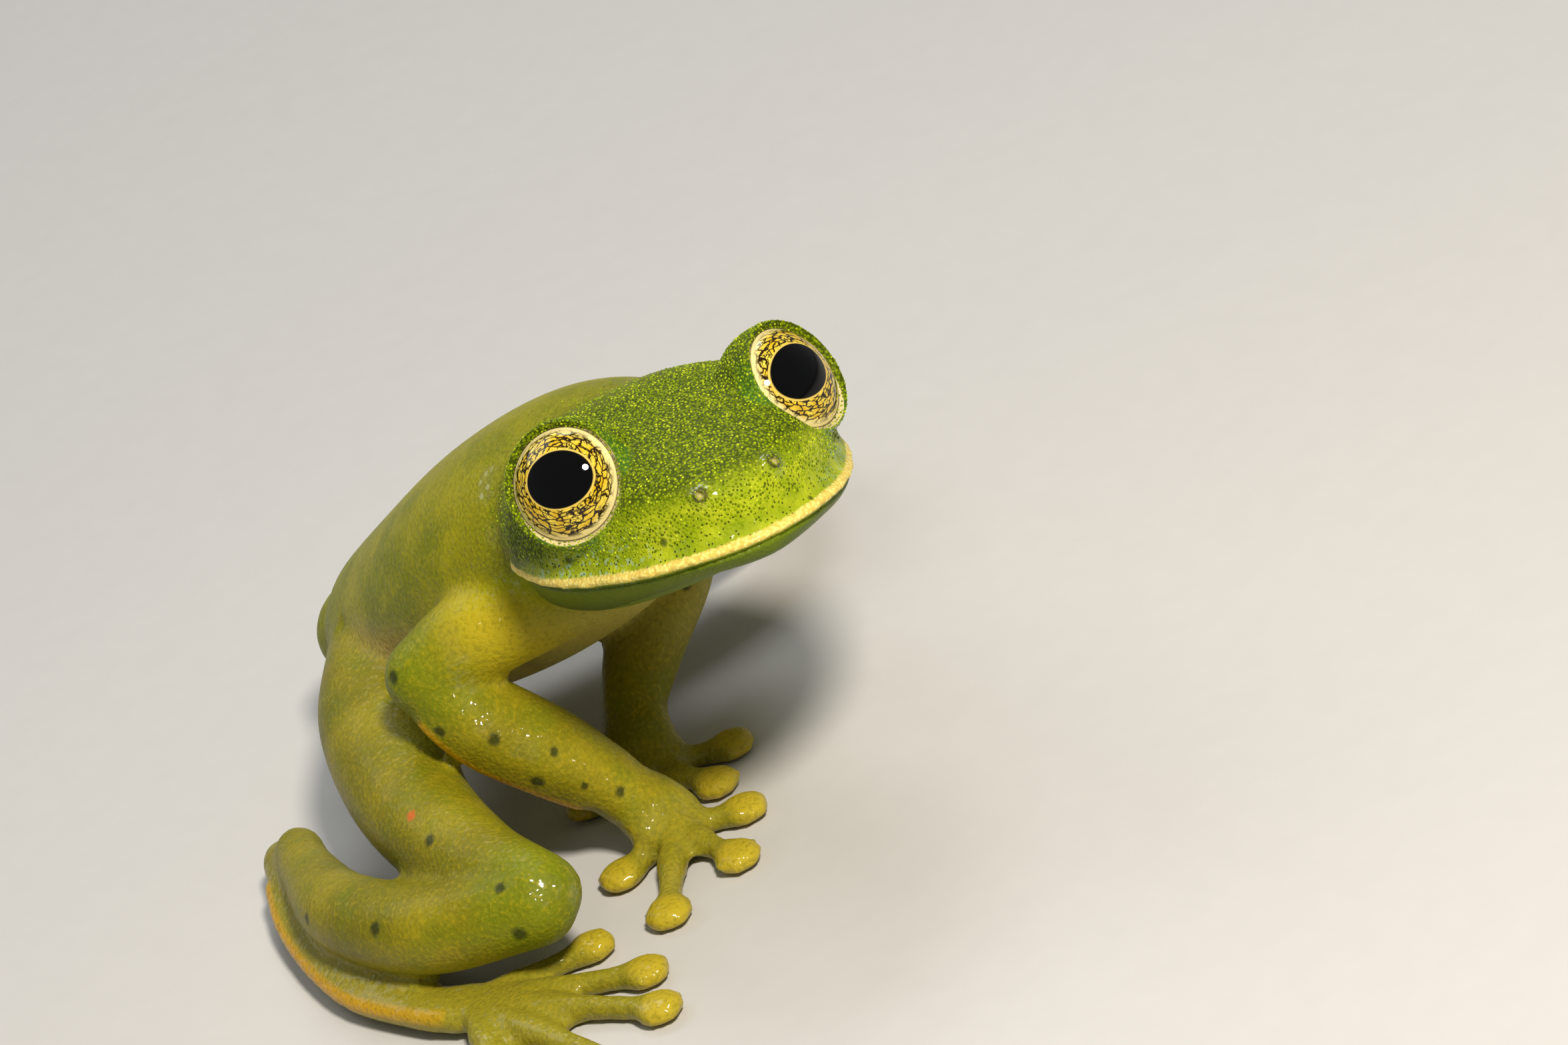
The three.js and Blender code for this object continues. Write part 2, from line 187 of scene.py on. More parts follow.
def linear(code):
    """An sRGB hex colour as linear red, green, blue, alpha."""
    parts = [int(code[i : i + 2], 16) / 255 for i in (1, 3, 5)]
    flat = [n / 12.92 if n <= 0.04045 else ((n + 0.055) / 1.055) ** 2.4 for n in parts]
    return (*flat, 1.0)


def soft_light(name, azimuth, elevation, distance, size, power, colour):
    """A round soft light aimed at the frog, its place a direction and a distance in mm."""
    back = direction(azimuth, elevation)
    data = bpy.data.lights.new(name, "AREA")
    data.shape, data.size, data.energy = "DISK", size * MM, power
    data.color = linear(colour)[:3]
    lamp = in_scene(name, data)
    lamp.location = (Vector((0.0, 0.0, AIM_HEIGHT)) + back * distance) * MM
    lamp.rotation_mode = "QUATERNION"
    lamp.rotation_quaternion = back.to_track_quat("Z", "Y")


soft_light("key_light", -15, 47, 170, 26, 0.32, "#fff6ea")
soft_light("side_light", -172, 45, 200, 120, 0.07, "#f6f8ff")
soft_light("back_light", 130, 55, 200, 90, 0.11, "#f6f9ff")

world = bpy.data.worlds.new("studio")
world.use_nodes = True
world.node_tree.nodes["Background"].inputs["Color"].default_value = linear("#e3e6e8")
world.node_tree.nodes["Background"].inputs["Strength"].default_value = 0.26
bpy.context.scene.world = world
bpy.context.scene.view_settings.view_transform = "Standard"

# %% [markdown]
# ## How materials are built
# Every finish is a small tree of shader nodes, and one function adds a node of any kind. The
# kinds used most have a short word in a table, with their settings, what the values after the
# word fill, and the output handed back. A finish is a function that adds its nodes and returns
# the shader's settings, and a material is named for it. A pattern's scale is the number of its
# cells in a metre, one over the real size of a cell.

# %% Words and the node adder
# word: kind, settings, what the values fill in turn, output
WORDS = {
    "place": ("ShaderNodeTexCoord", {}, (), "Object"),
    "field": ("ShaderNodeAttribute", {}, ("attribute_name",), "Fac"),
    "mix": ("ShaderNodeMix", {"data_type": "RGBA"}, (0, 6, 7), 2),
    "band": ("ShaderNodeMapRange", {"interpolation_type": "SMOOTHSTEP"}, (0, 1, 2), 0),
    "noise": ("ShaderNodeTexNoise", {}, (0, 2, 3), 0),
    "cells": ("ShaderNodeTexVoronoi", {}, (0, 2), "Distance"),
    "bump": ("ShaderNodeBump", {}, (), 0),
}
for word, operation in (("plus", "ADD"), ("minus", "SUBTRACT"), ("times", "MULTIPLY"),
                        ("over", "DIVIDE"), ("most", "MAXIMUM"), ("root", "SQRT")):
    WORDS[word] = ("ShaderNodeMath", {"operation": operation}, (0, 1), 0)


def add(tree, word, *values, output=None, **named):
    """Adds a node with its settings and links; a word gives its output, a kind the node."""
    kind, settings, places, usual = WORDS.get(word, (word, {}, (), None))
    node = tree.nodes.new(kind)
    for name, value in {**settings, **dict(zip(places, values)), **named}.items():
        if hasattr(node, str(name)):
            setattr(node, name, value)
            continue
        if isinstance(name, str):
            name = int(name[1:]) if name[0] == "_" else name.replace("_", " ")
        if isinstance(value, bpy.types.NodeSocket):
            tree.links.new(value, node.inputs[name])
        else:
            colour = isinstance(value, str) and value.startswith("#")
            node.inputs[name].default_value = linear(value) if colour else value
    return node.outputs[usual if output is None else output] if word in WORDS else node


def material(look):
    """A material named as its look, which adds the nodes and returns the shader's sockets."""
    made = bpy.data.materials.new(look.__name__)
    made.use_nodes = True
    made.node_tree.nodes.clear()
    put = partial(add, made.node_tree)
    shader = put("ShaderNodeBsdfPrincipled", **look(put)).outputs[0]
    put("ShaderNodeOutputMaterial", Surface=shader)
    return made


print(len(WORDS), "words for nodes")

# %% Floor
FLOOR_HALF = 3.0
# Paper's fibres are too fine to show, so its mottling is drawn this coarse, in mm
MOTTLE = 1.2


def matt_paper(put):
    """Matt paper: it shows the frog's shadow and no highlight, only a faint mottling."""
    mottle = put("noise", put("place"), 1 / (MOTTLE * MM), 4.0)
    return dict(Base_Color=put("mix", mottle, "#c6c4bf", "#cbc9c4"), Roughness=0.85)


def floor():
    mesh = bpy.data.meshes.new("floor")
    corners = [(x * FLOOR_HALF, y * FLOOR_HALF, 0) for x, y in ((-1, -1), (1, -1), (1, 1), (-1, 1))]
    mesh.from_pydata(corners, [], [(0, 1, 2, 3)])
    mesh.materials.append(material(matt_paper))
    made = in_scene("floor", mesh)
    made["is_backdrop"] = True


floor()
print("the floor reaches", FLOOR_HALF, "m each way")

# %% [markdown]
# ## The body plan
# A frog's trunk and limbs are soft tubes that swell over the muscle and narrow at the joints.
# Each is a list of stations, x, y, z, half width and half height, that a smooth curve joins.
# Hand-sculpting could give the same forms, but stations keep every length a number to read.

# %% Stations of the trunk and limbs
def legs(shape, right, left):
    """Stations of a pair: each side's x and y, with height, half width and half height shared."""
    return [[(*place, *size) for place, size in zip(route, shape)] for route in (right, left)]


TRUNK = [
    (0.9, 3.4, 10.0, 3.3, 2.5), (0.95, 6.6, 8.8, 4.15, 3.25), (0.95, 10.4, 7.0, 4.5, 3.4),
    (0.7, 14.2, 5.2, 3.95, 3.0), (0.3, 17.3, 4.0, 2.75, 2.3), (0.15, 18.8, 3.6, 1.8, 1.5),
]
LIMBS = {
    "upper_arm_right": [
        (-1.6, 6.4, 7.6, 1.5, 1.5), (-3.7, 7.8, 7.3, 1.35, 1.35), (-5.1, 8.7, 6.8, 1.2, 1.2),
    ],
    "forearm_right": [
        (-5.1, 8.6, 6.6, 1.15, 1.15), (-4.6, 7.8, 5.1, 1.45, 1.2),
        (-3.8, 6.6, 3.6, 1.4, 1.15), (-3.1, 5.5, 2.2, 1.1, 0.9),
    ],
    "upper_arm_left": [
        (3.4, 6.2, 7.8, 1.5, 1.5), (4.9, 8.0, 6.9, 1.35, 1.35), (5.6, 9.5, 5.7, 1.2, 1.2),
    ],
    "forearm_left": [
        (5.6, 9.4, 5.5, 1.1, 1.1), (4.1, 9.1, 4.1, 1.4, 1.15),
        (2.2, 8.8, 3.0, 1.3, 1.05), (0.6, 8.4, 1.95, 1.0, 0.85),
    ],
}

thighs = legs(
    [(4.0, 2.0, 1.9), (3.8, 1.95, 1.85), (3.4, 1.65, 1.6), (3.0, 1.4, 1.4), (2.8, 1.15, 1.15)],
    [(-1.6, 15.6), (-4.2, 13.3), (-6.7, 9.7), (-8.2, 5.6), (-8.6, 2.5)],
    [(1.2, 16.4), (5.1, 13.8), (8.9, 12.4), (11.4, 13.0), (12.8, 14.6)])
shanks = legs(
    [(2.6, 1.15, 1.15), (2.4, 1.35, 1.25), (2.1, 1.2, 1.1), (1.65, 0.85, 0.82), (1.4, 0.72, 0.7)],
    [(-8.9, 2.5), (-10.4, 5.6), (-10.2, 9.6), (-8.6, 13.3), (-7.5, 15.2)],
    [(12.9, 14.9), (12.1, 17.6), (9.7, 19.6), (6.5, 20.9), (4.4, 21.6)])
for number, side in enumerate(("right", "left")):
    LIMBS[f"thigh_{side}"], LIMBS[f"shank_{side}"] = thighs[number], shanks[number]
print("the thigh has", len(LIMBS["thigh_right"]), "stations and the trunk", len(TRUNK))

# %% Stations of the paws
# The palm or sole, the places of its disc-tipped digits, and how far its web reaches
soles = legs(
    [(0.85, 0.72, 0.7), (0.64, 0.66, 0.58), (0.58, 0.64, 0.53), (0.56, 0.78, 0.5),
     (0.5, 1.0, 0.48)],
    [(-7.5, 16.1), (-9.8, 12.9), (-11.5, 8.8), (-11.6, 5.6), (-11.2, 4.1)],
    [(3.6, 22.0), (6.0, 19.5), (8.3, 18.0), (10.1, 17.5), (11.2, 17.4)])
PAWS = {
    "hand_right": (
        [(-3.1, 5.4, 2.0, 1.0, 0.85), (-2.8, 4.8, 1.25, 1.15, 0.8), (-2.8, 4.0, 0.7, 1.15, 0.55)],
        [(-1.0, 2.5), (-3.2, 0.8), (-6.1, 1.1), (-5.1, 4.4)], 0.35),
    "hand_left": (
        [(0.5, 8.3, 1.85, 0.95, 0.8), (-0.1, 7.9, 1.15, 1.1, 0.75), (-0.5, 7.2, 0.7, 1.15, 0.55)],
        [(-2.5, 8.6), (-2.1, 6.2), (-0.4, 4.4), (1.5, 5.5)], 0.35),
    "foot_right": (
        soles[0], [(-7.5, 2.5), (-8.1, -0.4), (-9.4, -2.2), (-11.9, -3.2), (-13.6, 0.2)], 0.62),
    "foot_left": (
        soles[1], [(11.1, 14.7), (13.2, 14.1), (15.1, 15.8), (16.8, 18.9), (14.9, 21.3)], 0.62),
}
print(len(LIMBS), "limb parts,", len(PAWS), "paws")


# %% A tube through stations
def spline(points, t):
    """Points on a uniform Catmull-Rom curve at parameters t from 0 to 1."""
    p = np.asarray(points, float)
    p = np.vstack([2 * p[0] - p[1], p, 2 * p[-1] - p[-2]])
    u = np.clip(np.asarray(t, float), 0, 1) * (len(p) - 3)
    i = np.minimum(u.astype(int), len(p) - 4)
    f = (u - i)[:, None]
    a, b, c, d = p[i], p[i + 1], p[i + 2], p[i + 3]
    cubic = (3 * b - a - 3 * c + d) * f**3
    return 0.5 * (2 * b + (c - a) * f + (2 * a - 5 * b + 4 * c - d) * f**2 + cubic)


def along_tube(stations, t):
    """Middle, half sizes and the ahead, side and top directions of a tube at parameters t."""
    centre = spline([s[:3] for s in stations], t)
    half = spline([s[3:] for s in stations], t)
    ahead = np.gradient(centre, axis=0)
    ahead /= norm(ahead, axis=1)[:, None]
    side = np.cross(ahead, (0, 0, 1))
    side /= norm(side, axis=1)[:, None]
    return centre, half, ahead, side, np.cross(side, ahead)


def ring_faces(count, around):
    """Quads between rings of points, and fans to a pole before and after them."""
    faces = []
    for i in range(count - 1):
        for j in range(around):
            k = (j + 1) % around
            a, b = 1 + i * around, 1 + (i + 1) * around
            faces.append((a + j, b + j, b + k, a + k))
    last = 1 + (count - 1) * around
    for j in range(around):
        k = (j + 1) % around
        faces += [(0, 1 + j, 1 + k), (last + around, last + k, last + j)]
    return faces


def tube(stations, steps=40, around=32, domes=7):
    """A closed tube with rounded ends: its points and its faces."""
    centre, half, ahead, side, top = along_tube(stations, np.linspace(0, 1, steps))
    angle = np.linspace(0, 2 * np.pi, around, endpoint=False)[:, None]

    def ring(i, forward, scale):
        round_it = half[i, 0] * np.cos(angle) * side[i] + half[i, 1] * np.sin(angle) * top[i]
        return centre[i] + ahead[i] * forward * half[i].min() + scale * round_it

    lean = np.linspace(0, np.pi / 2, domes + 1)[1:-1]
    rings = [ring(0, -math.sin(a), math.cos(a)) for a in lean[::-1]]
    rings += [ring(i, 0, 1) for i in range(steps)]
    rings += [ring(steps - 1, math.sin(a), math.cos(a)) for a in lean]
    first = centre[0] - ahead[0] * half[0].min()
    last = centre[-1] + ahead[-1] * half[-1].min()
    return np.vstack([first, *rings, last]), ring_faces(len(rings), around)


print("a thigh tube has", len(tube(LIMBS["thigh_right"])[0]), "points")

# %% Digits and webs
DIGIT_WIDE, DIGIT_HIGH = 0.42, 0.4
DISC_WIDE, DISC_LONG, DISC_HIGH = 0.74, 0.62, 0.36
WEB_THICKNESS = 0.4


def digit(root, tip):
    """A finger or toe along the floor, swollen at its joints, with a wide flat disc."""
    start, end = np.array(root[:3]), np.array([*tip, DISC_HIGH - 0.02])
    along = (end - start) * (1, 1, 0)
    along /= norm(along)
    neck = end - along * 1.75 * DISC_LONG
    joint = start * 0.55 + neck * 0.45
    joint[2] = DIGIT_HIGH * 1.1
    thin = [start * 0.78 + neck * 0.22, start * 0.25 + neck * 0.75]
    thin[0][2], thin[1][2] = DIGIT_HIGH * 1.3, DIGIT_HIGH
    disc = [end - along * d * DISC_LONG for d in (1.0, 0.45, -0.12)]
    wide, high = DIGIT_WIDE, DIGIT_HIGH
    return tube([
        (*start, wide * 1.1, high * 1.1), (*thin[0], wide * 0.9, high),
        (*joint, wide * 1.12, high * 1.08), (*thin[1], wide * 0.84, high * 0.9),
        (*neck, wide * 0.88, DISC_HIGH * 0.95), (*disc[0], DISC_WIDE * 0.86, DISC_HIGH),
        (*disc[1], DISC_WIDE, DISC_HIGH), (*disc[2], DISC_WIDE * 0.82, DISC_HIGH * 0.85),
    ], 36, 20, 5)


def web(root, tips, share):
    """A thin sheet between neighbouring digits, its free edge curved in."""
    base = np.array(root[:2])
    reach = [base + (np.array(t) - base) * share for t in tips]
    edge = []
    for one, two in zip(reach, reach[1:]):
        middle = (one + two) / 2 * 0.7 + base * 0.3
        for f in np.linspace(0, 1, 8, endpoint=two is reach[-1]):
            edge.append((1 - f) ** 2 * one + 2 * f * (1 - f) * middle + f**2 * two)
    outline = np.array([base, *edge])
    n = len(outline)
    points = np.vstack([np.c_[outline, np.full(n, h)] for h in (0.02, WEB_THICKNESS)])
    faces = [(0, i, i + 1) for i in range(1, n - 1)]
    faces += [(n, n + i + 1, n + i) for i in range(1, n - 1)]
    return points, faces + [(i, n + i, n + (i + 1) % n, (i + 1) % n) for i in range(n)]


def digit_roots(stations, tips):
    """Where each digit leaves the palm: a little way from its last station towards the tip."""
    root = np.array(stations[-1][:3])
    for i, tip in enumerate(tips):
        spread = math.cos((i / (len(tips) - 1) - 0.5) * 1.1) * 0.35
        out = np.array([*tip, root[2]]) - root
        yield root + out / norm(out) * spread, tip


def paw(stations, tips, share):
    pieces = [tube(stations, 40, 28), web(stations[-1], tips, share)]
    return pieces + [digit(root, tip) for root, tip in digit_roots(stations, tips)]


print("the right foot is joined from", len(paw(*PAWS["foot_right"])), "pieces")

# %% [markdown]
# ## The head
# Seen from above the snout is a broad arc; from the side it is low and wedge-shaped. Rings
# across the head follow the arc of the mouth and three height lines, the crown above, the
# throat below and the mouth between. The side of the snout is hollowed over the lip, so that
# the lip flares out. The eyes stand out as domes, which are balls joined to the head.

# %% The head's loft
LIP_HALF_WIDTH, LIP_LENGTH, LIP_BACK = 4.82, 7.95, 3.1
HEAD_BACK, NECK_HALF_WIDTH = 5.6, 4.2
MOUTH = [
    (-5.0, -2.14), (-4.0, -2.22), (-2.9, -2.36), (-1.5, -2.5), (0.0, -2.64), (1.9, -2.7),
    (5.6, -2.5),
]
CROWN = [
    (-5.0, -1.25), (-4.6, -0.62), (-3.8, -0.12), (-2.6, 0.32), (-1.0, 0.72), (1.0, 0.9),
    (3.2, 0.8), (5.6, 0.3),
]
THROAT = [
    (-5.0, -2.62), (-4.4, -2.78), (-3.0, -3.05), (-1.0, -3.7), (1.0, -4.35), (3.2, -4.8),
    (5.6, -4.9),
]
HOLLOW = 0.34
JAW_INSET = 0.22
DOME_RADIUS = 1.84


def height_line(points, y):
    line = spline(points, np.linspace(0, 1, 400))
    return np.interp(y, line[:, 0], line[:, 1])


def soft(value, low, high):
    """0 at low and 1 at high with a smooth step between; low above high turns it round."""
    share = np.clip((value - low) / (high - low), 0, 1)
    return share * share * (3 - 2 * share)


def mouth_half_width(y):
    inside = LIP_HALF_WIDTH * np.sqrt(np.clip(1 - ((LIP_BACK - y) / LIP_LENGTH) ** 2, 0, 1))
    share = np.clip((y - LIP_BACK) / (HEAD_BACK - LIP_BACK), 0, 1)
    behind = LIP_HALF_WIDTH + (NECK_HALF_WIDTH - LIP_HALF_WIDTH) * share
    return np.where(y < LIP_BACK, inside, behind)


def snout_outward(local):
    """Level directions out of the snout's arc, and how far out on it each point lies."""
    x, y = local[:, 0], local[:, 1]
    back = np.where(y < LIP_BACK, (y - LIP_BACK) / LIP_LENGTH**2, 0)
    out = np.c_[x / LIP_HALF_WIDTH**2, back, np.zeros(len(x))]
    place = np.hypot(x / LIP_HALF_WIDTH, np.minimum(y - LIP_BACK, 0) / LIP_LENGTH)
    return out / (norm(out, axis=1)[:, None] + 1e-9), place


def head_loft(steps=80, around=96):
    tip = LIP_BACK - LIP_LENGTH
    angle = np.linspace(0, 2 * np.pi, around, endpoint=False)
    across, rise = np.cos(angle), np.sin(angle)
    rings = []
    for s in np.linspace(0, 1, steps):
        y = tip + 0.01 + (HEAD_BACK - tip) * (1 - math.cos(s * math.pi / 2))
        line = height_line(MOUTH, y)
        high = np.where(rise > 0, height_line(CROWN, y) - line, line - height_line(THROAT, y))
        square = np.abs(across) ** np.where(rise > 0, 0.72, 0.8)
        x = mouth_half_width(y) * np.sign(across) * square
        z = line + high * np.sign(rise) * np.abs(rise) ** 0.85
        rings.append(np.c_[x, np.full(around, y), z])
    ends = [np.array([0, tip, MOUTH[0][1]]), np.array([0, HEAD_BACK + 0.9, MOUTH[-1][1]])]
    points = np.vstack([ends[0], *rings, ends[1]])
    out, place = snout_outward(points)
    over = points[:, 2] - height_line(MOUTH, points[:, 1])
    hollow = HOLLOW * soft(over, 0.05, 0.55) * soft(over, 2.4, 0.8) * soft(points[:, 1], 1.6, -1.2)
    inset = JAW_INSET * soft(over, -0.02, -0.12) * soft(over, -2.0, -0.4)
    points -= out * ((hollow + inset) * soft(place, 0.3, 0.8))[:, None]
    return points, ring_faces(steps, around)


def lathe(profile, around=96):
    """A closed body turned from a profile of (radius, height) whose ends lie on the axis."""
    angle = np.linspace(0, 2 * np.pi, around, endpoint=False)
    circle = np.c_[np.cos(angle), np.sin(angle)]
    rings = [np.c_[r * circle, np.full(around, h)] for r, h in profile[1:-1]]
    points = np.vstack([[0, 0, profile[0][1]], *rings, [0, 0, profile[-1][1]]])
    return points, ring_faces(len(rings), around)


def ball(centre, radius, scale=(1, 1, 1), steps=28, around=40):
    lean = np.linspace(0, np.pi, steps + 2)
    points, faces = lathe([(math.sin(a), math.cos(a)) for a in lean], around)
    return points * radius * np.array(scale) + np.array(centre), faces


print("the head is", round(2 * LIP_HALF_WIDTH, 1), "mm wide at the corners of the mouth")

# %% [markdown]
# ## One skin
# All the tubes and balls overlap, so they could be joined with booleans, but a voxel remesh
# does it in one go and leaves even quads. Smoothing then rounds the joints as flesh does. The
# head and the paws carry finer detail, so their faces are split once more.

# %% Join and remesh
VOXEL = 0.2


def mesh_object(name, points, faces):
    mesh = bpy.data.meshes.new(name)
    mesh.from_pydata(np.asarray(points).tolist(), [], [tuple(int(i) for i in f) for f in faces])
    mesh.update()
    return in_scene(name, mesh)


def outward(points, faces):
    """The same closed piece with its faces turned outwards."""
    p = np.asarray(points)
    fans = np.array([(f[0], f[i], f[i + 1]) for f in faces for i in range(1, len(f) - 1)])
    total = (p[fans[:, 0]] * np.cross(p[fans[:, 1]], p[fans[:, 2]])).sum()
    return (points, faces) if total > 0 else (points, [tuple(reversed(f)) for f in faces])


def joined(pieces):
    points, faces, start = [], [], 0
    for one, some in pieces:
        points.append(one)
        faces += [tuple(i + start for i in f) for f in some]
        start += len(one)
    return np.vstack(points), faces


def apply(made):
    """Takes the evaluated mesh for the object's own, and clears its modifiers."""
    graph = bpy.context.evaluated_depsgraph_get()
    mesh = bpy.data.meshes.new_from_object(made.evaluated_get(graph))
    made.modifiers.clear()
    old, made.data = made.data, mesh
    bpy.data.meshes.remove(old)


def baked(made, kind, **settings):
    """Gives an object one modifier and applies it."""
    modifier = made.modifiers.new(kind.lower(), kind)
    for name, value in settings.items():
        setattr(modifier, name, value)
    apply(made)


plan = [tube(TRUNK, 60, 64)] + [tube(stations) for stations in LIMBS.values()]
for parts in PAWS.values():
    plan += paw(*parts)
plan = [(points + SHIFT, faces) for points, faces in plan]
domes = [ball((side * EYE_SIDE, 0, 0), DOME_RADIUS) for side in (-1, 1)]
plan += [(from_head(points), faces) for points, faces in [head_loft(), *domes]]
skin = mesh_object("skin", *joined([outward(*piece) for piece in plan]))
baked(skin, "REMESH", mode="VOXEL", voxel_size=VOXEL, adaptivity=0.0)
print("skin after the remesh:", len(skin.data.polygons), "faces")


# %% Smooth, more on the body than on the digits
def read(mesh):
    """Points and edges of a mesh as arrays."""
    points = np.empty(len(mesh.vertices) * 3, np.float32)
    mesh.vertices.foreach_get("co", points)
    edges = np.empty(len(mesh.edges) * 2, np.int32)
    mesh.edges.foreach_get("vertices", edges)
    return points.reshape(-1, 3).astype(float), edges.reshape(-1, 2)


def write(mesh, points):
    mesh.vertices.foreach_set("co", np.asarray(points, np.float32).ravel())
    mesh.update()


def normals(mesh):
    values = np.empty(len(mesh.vertices) * 3, np.float32)
    mesh.vertex_normals.foreach_get("vector", values)
    return values.reshape(-1, 3).astype(float)


def relaxed(points, edges, rounds, pull, push, share=1.0):
    """Moves each point towards its neighbours' mean and part of the way out again."""
    near = np.maximum(np.bincount(edges.ravel(), minlength=len(points)), 1)[:, None]
    share = np.broadcast_to(np.asarray(share, float), len(points))[:, None]
    one, two = edges.T
    for _ in range(rounds):
        for step in (pull, -push):
            total = np.stack([
                np.bincount(one, points[two, k], len(points))
                + np.bincount(two, points[one, k], len(points)) for k in range(3)], 1)
            points = points + step * share * (total / near - points)
    return points


def nearest(points, places, sizes=None):
    """Distance from points to the nearest of some places, over each place's size if given."""
    best = np.full(len(points), np.inf)
    for place, size in zip(places, np.ones(len(places)) if sizes is None else sizes):
        best = np.minimum(best, norm(points - place, axis=1) / size)
    return best


digit_lines = np.vstack([
    np.linspace(root, (*tip, 0.3), 9) for stations, tips, _ in PAWS.values()
    for root, tip in digit_roots(stations, tips)]) + SHIFT
points, edges = read(skin.data)
on_digit = soft(nearest(points, digit_lines), 1.4, 0.8) * (points[:, 2] < 1.6)
points = relaxed(points, edges, 9, 0.5, 0.5, 1 - 0.45 * on_digit)
points = relaxed(points, edges, 3, 0.5, 0.3, 1 - 0.9 * on_digit)
points[:, 2] = np.maximum(points[:, 2], 0.0)
write(skin.data, points)
print("the smoothed skin is", round(float(np.ptp(points[:, 2])), 2), "mm high")


# %% Finer faces on the head and digits
def triangles(made):
    return sum(len(p.vertices) - 2 for p in made.data.polygons)


def finer(made, chosen):
    """Splits the edges whose two ends are both chosen."""
    work = bmesh.new()
    work.from_mesh(made.data)
    edges = [e for e in work.edges if all(chosen[v.index] for v in e.verts)]
    bmesh.ops.subdivide_edges(work, edges=edges, cuts=1, use_grid_fill=True)
    work.to_mesh(made.data)
    work.free()
    made.data.update()


NOSTRIL = (1.1, -4.02, -0.5)
LID_RING = 1.55
LID_HEIGHT = 0.55


def face_fields(local):
    """Distances in mm on the face: height over the mouth, to a lid's edge and to a nostril."""
    rise = local[:, 2] - height_line(MOUTH, local[:, 1])
    lid, nostril = np.full(len(local), 9.0), np.full(len(local), 9.0)
    for side in (-1, 1):
        own = to_eye(side, local)
        ring = np.hypot(own[:, 0], own[:, 1])
        lid = np.minimum(lid, np.hypot(ring - LID_RING, own[:, 2] - LID_HEIGHT))
        hole = np.array([side * NOSTRIL[0], NOSTRIL[1], NOSTRIL[2]])
        nostril = np.minimum(nostril, norm(local - hole, axis=1))
    return rise, lid, nostril


def face_of(mesh):
    """A mesh's points, as they are and in the head's frame, and all that is measured there."""
    points, _ = read(mesh)
    local = to_head(points)
    return points, local, *face_fields(local), *snout_outward(local)


on_face = to_head(points)
chosen = (on_face[:, 1] < 3.4) & (np.abs(on_face[:, 0]) < 6) & (on_face[:, 2] > -3.4)
finer(skin, chosen | (on_digit > 0.3))
points, on_face, rise, lid, nostril, out, place = face_of(skin.data)
near_mouth = (np.abs(rise - 0.05) < 0.35) & (place > 0.85) & (on_face[:, 1] < 3.9)
finer(skin, near_mouth | (lid < 0.3) | (nostril < 0.5))
points, edges = read(skin.data)
write(skin.data, relaxed(points, edges, 2, 0.5, 0.5))
print("skin after splitting:", triangles(skin), "triangles")

# %% [markdown]
# ## Lips, lids, nostrils and folds
# The upper lip stands out as a thin rim over the line of the mouth. Both lips are pushed out or
# in along a profile of height over that line, so that the line runs evenly round the snout and
# fades behind its corners. Folds of the skin are pushed in along short paths over the trunk,
# and the fringes along the forearm and heel are pushed out along theirs.

# %% Shaping the mouth, lids and nostrils
LIP_RIM, MOUTH_GROOVE, NOSTRIL_MOUND, LID_WELT = 0.09, 0.13, 0.12, 0.04


def hump(away, width):
    """1 where nothing is away, falling off softly over a width."""
    return np.exp(-((away / width) ** 2))


points, on_face, rise, lid, nostril, out, place = face_of(skin.data)
rim = LIP_RIM * hump(rise - 0.15, 0.14) - MOUTH_GROOVE * hump(rise + 0.05, 0.07)
rim *= soft(place, 0.8, 0.92) * soft(on_face[:, 1], 4.1, 3.3)
bump = NOSTRIL_MOUND * hump(nostril, 0.26) + LID_WELT * hump(lid - 0.16, 0.09)
points = from_head(on_face + out * rim[:, None]) + normals(skin.data) * bump[:, None]
write(skin.data, points)
print("the lip rim stands out by up to", round(float(rim.max()), 2), "mm")

# %% Folds and fringes
# Folds run over the trunk between two shares of its length and two angles round it, the same
# on both sides
FOLDS = [(0.3, 0.42, 205, 240), (0.4, 0.52, 195, 232), (0.5, 0.62, 190, 226), (0.7, 0.84, 150, 200)]
FOLDS += [(start, stop, 180 - one, 180 - two) for start, stop, one, two in FOLDS]
FOLD_DEPTH, FOLD_WIDTH = 0.1, 0.28
FRINGES = [
    ("forearm_right", (-0.93, -0.10, -0.33)), ("forearm_left", (0.30, 0.80, -0.50)),
    ("foot_right", (-0.95, -0.20, 0.25)), ("foot_left", (0.20, 0.95, 0.25)),
]
FRINGE_HEIGHT, FRINGE_WIDTH = 0.13, 0.27


def trunk_path(start, stop, from_angle, to_angle, count=14):
    """Places on the trunk's surface between two shares of its length and two angles."""
    centre, half, _, side, top = along_tube(TRUNK, np.linspace(start, stop, count))
    angle = np.radians(np.linspace(from_angle, to_angle, count))[:, None]
    return centre + half[:, :1] * np.cos(angle) * side + half[:, 1:] * np.sin(angle) * top + SHIFT


def fringe_path(name, outwards, count=110):
    """The outer edge of a forearm or foot: its middle moved out square to its length."""
    stations = LIMBS[name] if name in LIMBS else PAWS[name][0]
    centre, half, ahead, _, _ = along_tube(stations, np.linspace(0.1, 0.9, count))
    out = np.array(outwards) - ahead * (ahead @ np.array(outwards))[:, None]
    out /= norm(out, axis=1)[:, None]
    return centre + out * half.mean(1)[:, None] * 0.97 + SHIFT


fringe_line = np.vstack([fringe_path(*one) for one in FRINGES])
points, edges = read(skin.data)
push = FRINGE_HEIGHT * hump(nearest(points, fringe_line), FRINGE_WIDTH)
for fold in FOLDS:
    push -= FOLD_DEPTH * hump(nearest(points, trunk_path(*fold)), FOLD_WIDTH)
points += normals(skin.data) * push[:, None]
points[:, 2] = np.maximum(points[:, 2], 0.0)
write(skin.data, points)
print("fringes and folds move", int((np.abs(push) > 0.02).sum()), "points")

